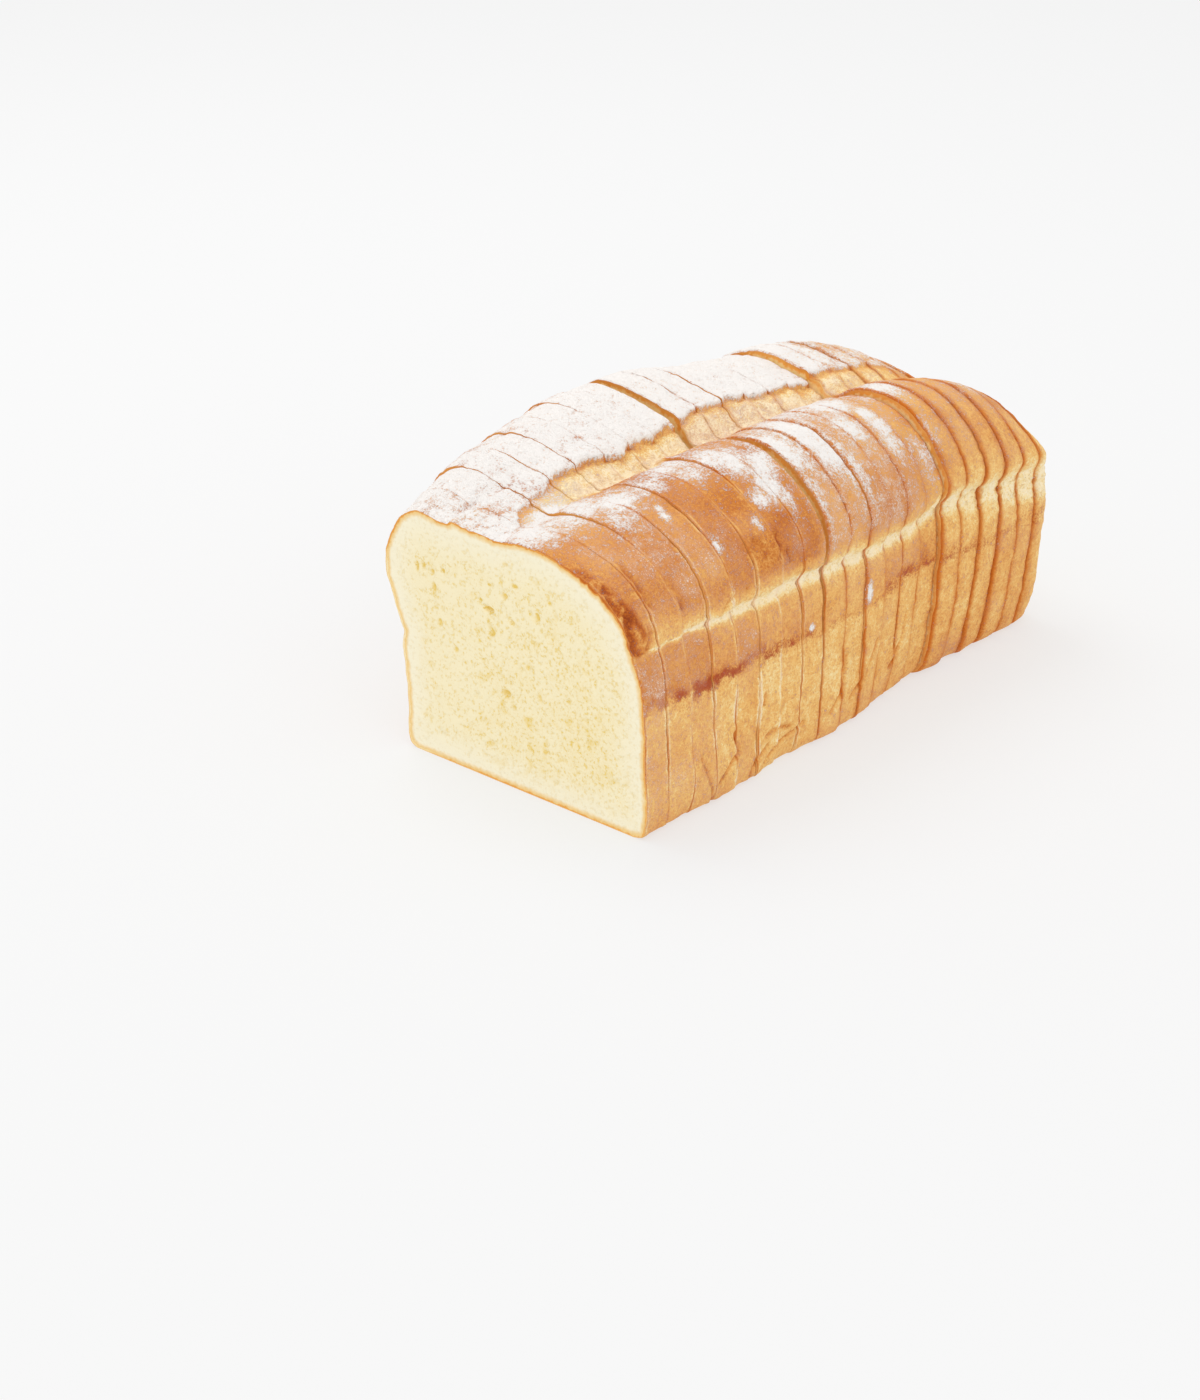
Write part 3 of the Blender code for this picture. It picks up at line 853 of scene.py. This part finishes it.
class Nodes:
    """Small helper that adds and links shader nodes."""

    def __init__(self, material):
        material.use_nodes = True
        self.tree = material.node_tree
        self.shader = self.tree.nodes["Principled BSDF"]

    def put(self, socket, value):
        """Links an output to the socket, or sets a plain value on it."""
        if hasattr(value, "links"):
            self.tree.links.new(value, socket)
        else:
            socket.default_value = value

    def attribute(self, name):
        node = self.tree.nodes.new("ShaderNodeAttribute")
        node.attribute_name = name
        return node.outputs["Fac"]

    def math(self, operation, a, b, clamp=False):
        node = self.tree.nodes.new("ShaderNodeMath")
        node.operation = operation
        node.use_clamp = clamp
        self.put(node.inputs[0], a)
        self.put(node.inputs[1], b)
        return node.outputs[0]

    def add(self, *values, clamp=False):
        """All the values together. Clamp keeps each sum on the way between 0 and 1."""
        total = values[0]
        for value in values[1:]:
            total = self.math("ADD", total, value, clamp)
        return total

    def times(self, a, b, clamp=False):
        return self.math("MULTIPLY", a, b, clamp)

    def swing(self, value, amount):
        """A noise value round 0.5 as one round 0, times amount."""
        return self.times(self.math("SUBTRACT", value, 0.5), amount)

    def dots(self, size, share):
        """Scattered grains about size mm across, 1 on a grain: share of the places have one."""
        node = self.tree.nodes.new("ShaderNodeTexVoronoi")
        self.put(node.inputs["Vector"], self.place())
        node.inputs["Scale"].default_value = 0.6 / size
        chosen = self.tree.nodes.new("ShaderNodeSeparateColor")
        self.put(chosen.inputs["Color"], node.outputs["Color"])
        here = self.math("LESS_THAN", chosen.outputs["Red"], share)
        return self.times(here, self.step(node.outputs["Distance"], 0.5, 0.25))

    def step(self, value, low, high):
        """A soft step, 0 below low and 1 above high."""
        node = self.tree.nodes.new("ShaderNodeMapRange")
        node.interpolation_type = "SMOOTHSTEP"
        self.put(node.inputs["Value"], value)
        node.inputs["From Min"].default_value = low
        node.inputs["From Max"].default_value = high
        return node.outputs["Result"]

    def mix(self, share, a, b):
        """Colour a where share is 0, and colour b where it is 1."""
        node = self.tree.nodes.new("ShaderNodeMix")
        node.data_type = "RGBA"
        self.put(node.inputs["Factor"], share)
        self.put(node.inputs["A"], a)
        self.put(node.inputs["B"], b)
        return node.outputs["Result"]

    def place(self):
        """Position on the object, in mm."""
        coordinates = self.tree.nodes.new("ShaderNodeTexCoord")
        node = self.tree.nodes.new("ShaderNodeMapping")
        self.put(node.inputs["Vector"], coordinates.outputs["Object"])
        node.inputs["Scale"].default_value = [1 / MM] * 3
        return node.outputs["Vector"]

    def noise(self, size, detail, roughness=0.5):
        """Noise round 0.5 whose lumps are about size mm across."""
        node = self.tree.nodes.new("ShaderNodeTexNoise")
        self.put(node.inputs["Vector"], self.place())
        node.inputs["Scale"].default_value = 1 / size
        node.inputs["Detail"].default_value = detail
        node.inputs["Roughness"].default_value = roughness
        return node.outputs["Fac"]

    def ramp(self, value, stops):
        """The colour at value along stops of (place, colour)."""
        node = self.tree.nodes.new("ShaderNodeValToRGB")
        elements = node.color_ramp.elements
        for place, colour in stops[2:]:
            elements.new(place)
        for element, (place, colour) in zip(elements, stops):
            element.position = place
            element.color = colour
        self.put(node.inputs["Fac"], value)
        return node.outputs["Color"]

    def bump(self, height, distance, strength, below=None):
        """Relief distance mm deep, on top of the relief below."""
        node = self.tree.nodes.new("ShaderNodeBump")
        node.inputs["Strength"].default_value = strength
        node.inputs["Distance"].default_value = distance * MM
        self.put(node.inputs["Height"], height)
        if below is not None:
            self.put(node.inputs["Normal"], below)
        return node.outputs["Normal"]


def crust_material():
    material = bpy.data.materials.new("baked_crust")
    nodes = Nodes(material)
    mottle = nodes.noise(3.4, 4.0, 0.62)
    grain = nodes.noise(1.3, 3.0, 0.62)
    sand = nodes.noise(0.65, 2.0, 0.6)

    # Baked crust with some painted shade in it, pitted most in the torn strip, with the tin's streak
    # and the painted shade of the gaps at the cut edges over it.
    pitted = nodes.add(nodes.times(nodes.attribute("torn"), 0.4), 0.36)
    baked = nodes.add(
        nodes.attribute("baked"), nodes.swing(grain, 0.42), nodes.swing(mottle, 0.48),
        nodes.swing(sand, pitted),
    )
    colour = nodes.ramp(baked, BAKED_COLOURS)
    streak = nodes.add(
        nodes.attribute("streak"), nodes.swing(grain, 1.3), nodes.swing(mottle, 1.0),
        nodes.swing(sand, 1.0),
    )
    colour = nodes.mix(nodes.times(nodes.step(streak, 0.1, 1.1), 0.95), colour, STREAK_COLOUR)
    # Painted shade: a dark orange line beside each cut, as in the gaps between slices.
    colour = nodes.mix(nodes.times(nodes.attribute("cut"), 0.9), colour, GAP_SHADE_COLOUR)

    # Thin dust: a veil, and fine pale grains that sit on the crust.
    film = nodes.attribute("film")
    veil = nodes.times(nodes.step(nodes.add(mottle, nodes.swing(sand, 0.9)), 0.25, 0.70), film)
    colour = nodes.mix(nodes.times(veil, 0.80), colour, VEIL_COLOUR)
    grains = nodes.add(nodes.dots(0.26, 0.55), nodes.dots(0.42, 0.15), clamp=True)
    clusters = nodes.step(nodes.add(grain, nodes.swing(mottle, 0.8)), 0.3, 0.7)
    dust = nodes.times(nodes.times(grains, clusters), film)
    colour = nodes.mix(nodes.times(dust, 0.95, clamp=True), colour, FILM_COLOUR)

    # Flour: thick where the attribute says so, breaking up into grains at its edges.
    flour = nodes.add(
        nodes.attribute("flour"), nodes.swing(mottle, 1.3), nodes.swing(grain, 1.1),
        nodes.swing(sand, 1.1),
    )
    cover = nodes.step(flour, 0.22, 1.05)
    colour = nodes.mix(nodes.times(cover, 0.97), colour, FLOUR_COLOUR)
    nodes.put(nodes.shader.inputs["Base Color"], colour)

    rough = nodes.add(0.62, nodes.times(nodes.attribute("glossy"), -0.25), nodes.times(cover, 0.33))
    rough = nodes.add(rough, nodes.times(dust, 0.2), clamp=True)
    nodes.put(nodes.shader.inputs["Roughness"], rough)
    nodes.shader.inputs["Specular IOR Level"].default_value = 0.12

    relief = nodes.bump(mottle, 1.0, 0.6)
    relief = nodes.bump(grain, 0.6, 0.8, relief)
    relief = nodes.bump(nodes.times(sand, nodes.add(cover, 0.6)), 0.3, 0.7, relief)
    nodes.put(nodes.shader.inputs["Normal"], relief)
    return material


def crumb_material():
    material = bpy.data.materials.new("open_crumb")
    nodes = Nodes(material)
    rim = nodes.attribute("rim")
    cells = nodes.noise(0.75, 2.0, 0.55)
    bubbles = nodes.noise(1.5, 3.0, 0.55)
    clouds = nodes.noise(9.0, 2.0)
    open_cells = nodes.times(nodes.step(bubbles, 0.51, 0.67), 0.46)
    openness_and_shade = nodes.add(
        nodes.times(nodes.attribute("pore_and_shade"), 0.9), nodes.swing(cells, 0.9), open_cells,
        nodes.swing(clouds, 0.6),
    )
    # Open pores make the crumb deeper yellow, and so does painted shade towards the bottom right.
    colour = nodes.mix(nodes.step(openness_and_shade, -0.1, 1.1), CRUMB_COLOUR, CRUMB_DEEP)
    colour = nodes.mix(nodes.times(nodes.step(rim, 16.0, 1.5), 0.7), colour, CRUMB_SKIN)

    # The crust's own thickness shows as a line round the cut face, golden where it meets crumb. On
    # inner faces both reach further in, as painted shade of the gaps.
    ragged_rim = nodes.add(rim, nodes.swing(nodes.noise(1.8, 3.0), 1.6))
    crust = nodes.ramp(nodes.times(nodes.attribute("baked"), 0.75), BAKED_COLOURS)
    crust = nodes.mix(nodes.attribute("skin"), crust, RIM_COLOUR)
    golden = nodes.times(nodes.step(ragged_rim, 2.8, 0.9), 0.75)
    golden = nodes.mix(golden, colour, GOLDEN_COLOUR)
    colour = nodes.mix(nodes.step(ragged_rim, 0.95, 0.35), golden, crust)
    nodes.put(nodes.shader.inputs["Base Color"], colour)
    nodes.shader.inputs["Roughness"].default_value = 0.9
    nodes.shader.inputs["Specular IOR Level"].default_value = 0.2

    relief = nodes.bump(nodes.times(open_cells, -1.0), 0.6, 0.6)
    relief = nodes.bump(cells, 0.3, 0.5, relief)
    nodes.put(nodes.shader.inputs["Normal"], relief)
    return material


# ---------------------------------------------------------------- stage, light, camera


FLOOR_COLOUR = (0.30, 0.30, 0.30, 1.0)
FLOOR_GLOW = 0.60
FLOOR_HALF_SIZE = 6.0
SKY = (0.93, 0.93, 0.93, 1.0)


def plain_floor():
    bpy.ops.mesh.primitive_plane_add(size=2 * FLOOR_HALF_SIZE, location=(0, 0, 0))
    floor = bpy.context.object
    floor.name = "floor"
    material = bpy.data.materials.new("pale_floor")
    material.use_nodes = True
    shader = material.node_tree.nodes["Principled BSDF"]
    shader.inputs["Base Color"].default_value = FLOOR_COLOUR
    shader.inputs["Roughness"].default_value = 0.9
    shader.inputs["Specular IOR Level"].default_value = 0.0
    shader.inputs["Emission Color"].default_value = (1, 1, 1, 1)
    shader.inputs["Emission Strength"].default_value = FLOOR_GLOW
    floor.data.materials.append(material)


def soft_light(name, place, aim, size, power):
    """A square soft box that points at aim."""
    data = bpy.data.lights.new(name, "AREA")
    data.shape = "SQUARE"
    data.size = size
    data.energy = power
    light = bpy.data.objects.new(name, data)
    light.location = place
    light.rotation_euler = (Vector(aim) - Vector(place)).to_track_quat("-Z", "Y").to_euler()
    bpy.context.scene.collection.objects.link(light)


def studio():
    world = bpy.data.worlds.new("studio")
    world.use_nodes = True
    background = world.node_tree.nodes["Background"]
    background.inputs["Color"].default_value = SKY
    background.inputs["Strength"].default_value = 1.0
    bpy.context.scene.world = world
    bpy.context.scene.view_settings.view_transform = "Standard"
    loaf = (0.0, 0.0, 0.05)
    soft_light("key", (-0.7, 0.1, 1.3), loaf, 0.9, 5.0)
    soft_light("fill", (1.25, -0.7, 0.9), loaf, 1.2, 2.6)


CAMERA_AZIMUTH, CAMERA_ELEVATION = math.radians(41.73), math.radians(24.97)
CAMERA_DISTANCE = 0.900
AIM = Vector((MIDDLE_X, FRONT_Y * MM + 0.040, 0.020))
FOCAL_LENGTH = 66.86
SENSOR = 36.0


def photo_camera():
    data = bpy.data.cameras.new("camera")
    data.lens = FOCAL_LENGTH
    data.sensor_width = SENSOR
    data.clip_start, data.clip_end = 0.05, 50.0
    camera = bpy.data.objects.new("camera", data)
    level = math.cos(CAMERA_ELEVATION)
    back = Vector(
        (
            math.sin(CAMERA_AZIMUTH) * level,
            -math.cos(CAMERA_AZIMUTH) * level,
            math.sin(CAMERA_ELEVATION),
        )
    )
    camera.location = AIM + back * CAMERA_DISTANCE
    camera.rotation_euler = (-back).to_track_quat("-Z", "Y").to_euler()
    bpy.context.scene.collection.objects.link(camera)
    bpy.context.scene.camera = camera


# ---------------------------------------------------------------- the scene


def stand_in(piece, node):
    """Lets a piece stand for a CAD node and ride where it does."""
    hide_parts(node)
    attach(piece, "root")


def main():
    materials = (crust_material(), crumb_material())
    for number, node in enumerate(SLICES):
        piece = build_slice(node, number, materials)
        stand_in(piece, node)
    stand_in(build_heel(materials), HEEL)
    plain_floor()
    studio()
    photo_camera()


main()
